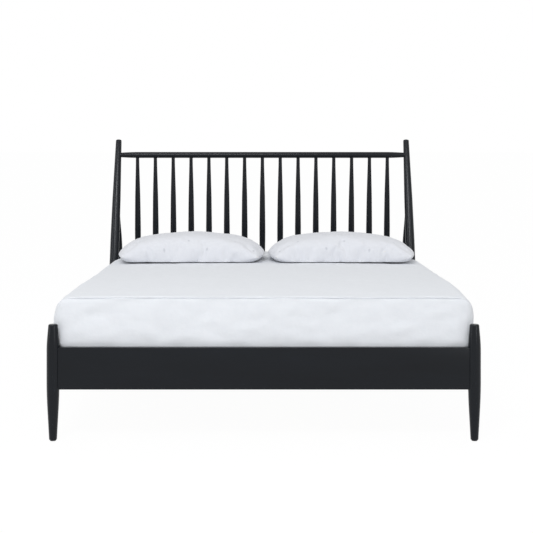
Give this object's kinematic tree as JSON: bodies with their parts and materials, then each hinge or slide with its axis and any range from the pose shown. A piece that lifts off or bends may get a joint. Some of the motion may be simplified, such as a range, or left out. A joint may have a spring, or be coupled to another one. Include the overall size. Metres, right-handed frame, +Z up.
{
  "type": "turned spindle bed",
  "caption": "Queen size bed with turned legs, leaning headboard posts, a crest rail and spindles, made up with mattress, fitted sheet and two pillows.",
  "frame": {"origin": "on the floor, in the middle of the bed's length and width", "axes": "+X across the bed to the right as seen from its foot, +Y along the bed towards the head, +Z up"},
  "size_m": [1.649, 2.1985, 1.1641],
  "materials": {
    "black_wood": "black satin paint over turned and planed hardwood",
    "pale_wood": "planed softwood, unfinished",
    "steel": "zinc plated steel",
    "glide_plastic": "hard black plastic",
    "ticking": "woven white ticking over a soft filling",
    "sheet_cotton": "plain woven white cotton",
    "case_cotton": "plain woven white cotton",
    "webbing": "woven off-white webbing"
  },
  "bodies": {
    "frame": {"beam_hangers": "steel", "centre_beam": "pale_wood", "centre_leg": "pale_wood", "crest_rail": "black_wood", "end_stretcher_left": "black_wood", "end_stretcher_right": "black_wood", "foot_leg_left": "black_wood", "foot_leg_right": "black_wood", "foot_rail": "black_wood", "glides": "glide_plastic", "head_ledger_left": "pale_wood", "head_ledger_right": "pale_wood", "head_rail": "black_wood", "leg_dowels": "pale_wood", "leveller_insert": "steel", "post_left": "black_wood", "post_right": "black_wood", "rail_hook_pins": "steel", "rail_hooks": "steel", "rear_leg_left": "black_wood", "rear_leg_right": "black_wood", "side_ledger_left": "pale_wood", "side_ledger_right": "pale_wood", "side_rail_left": "black_wood", "side_rail_right": "black_wood", "slat_straps": "webbing", "slats": "pale_wood", "spindle_01": "black_wood", "spindle_02": "black_wood", "spindle_03": "black_wood", "spindle_04": "black_wood", "spindle_05": "black_wood", "spindle_06": "black_wood", "spindle_07": "black_wood", "spindle_08": "black_wood", "spindle_09": "black_wood", "spindle_10": "black_wood", "spindle_11": "black_wood", "spindle_12": "black_wood", "spindle_13": "black_wood", "spindle_14": "black_wood", "spindle_15": "black_wood"},
    "leveller": {"leveller_foot": "steel"},
    "mattress": {"mattress": "ticking", "fitted_sheet": "sheet_cotton"},
    "pillow_left": {"pillow_left": "ticking", "pillowcase_left": "case_cotton"},
    "pillow_right": {"pillow_right": "ticking", "pillowcase_right": "case_cotton"}
  },
  "joints": [
    {"name": "leveller_screw", "type": "slide", "parent": "frame", "child": "leveller", "axis": [0, 0, 1], "range_m": [0, 0.012]},
    {"name": "mattress_lift", "type": "slide", "parent": "frame", "child": "mattress", "axis": [0, 0, 1], "range_m": [0, 0.35]},
    {"name": "pillow_left_lift", "type": "slide", "parent": "mattress", "child": "pillow_left", "axis": [0, 0, 1], "range_m": [0, 0.4]},
    {"name": "pillow_right_lift", "type": "slide", "parent": "mattress", "child": "pillow_right", "axis": [0, 0, 1], "range_m": [0, 0.4]}
  ]
}
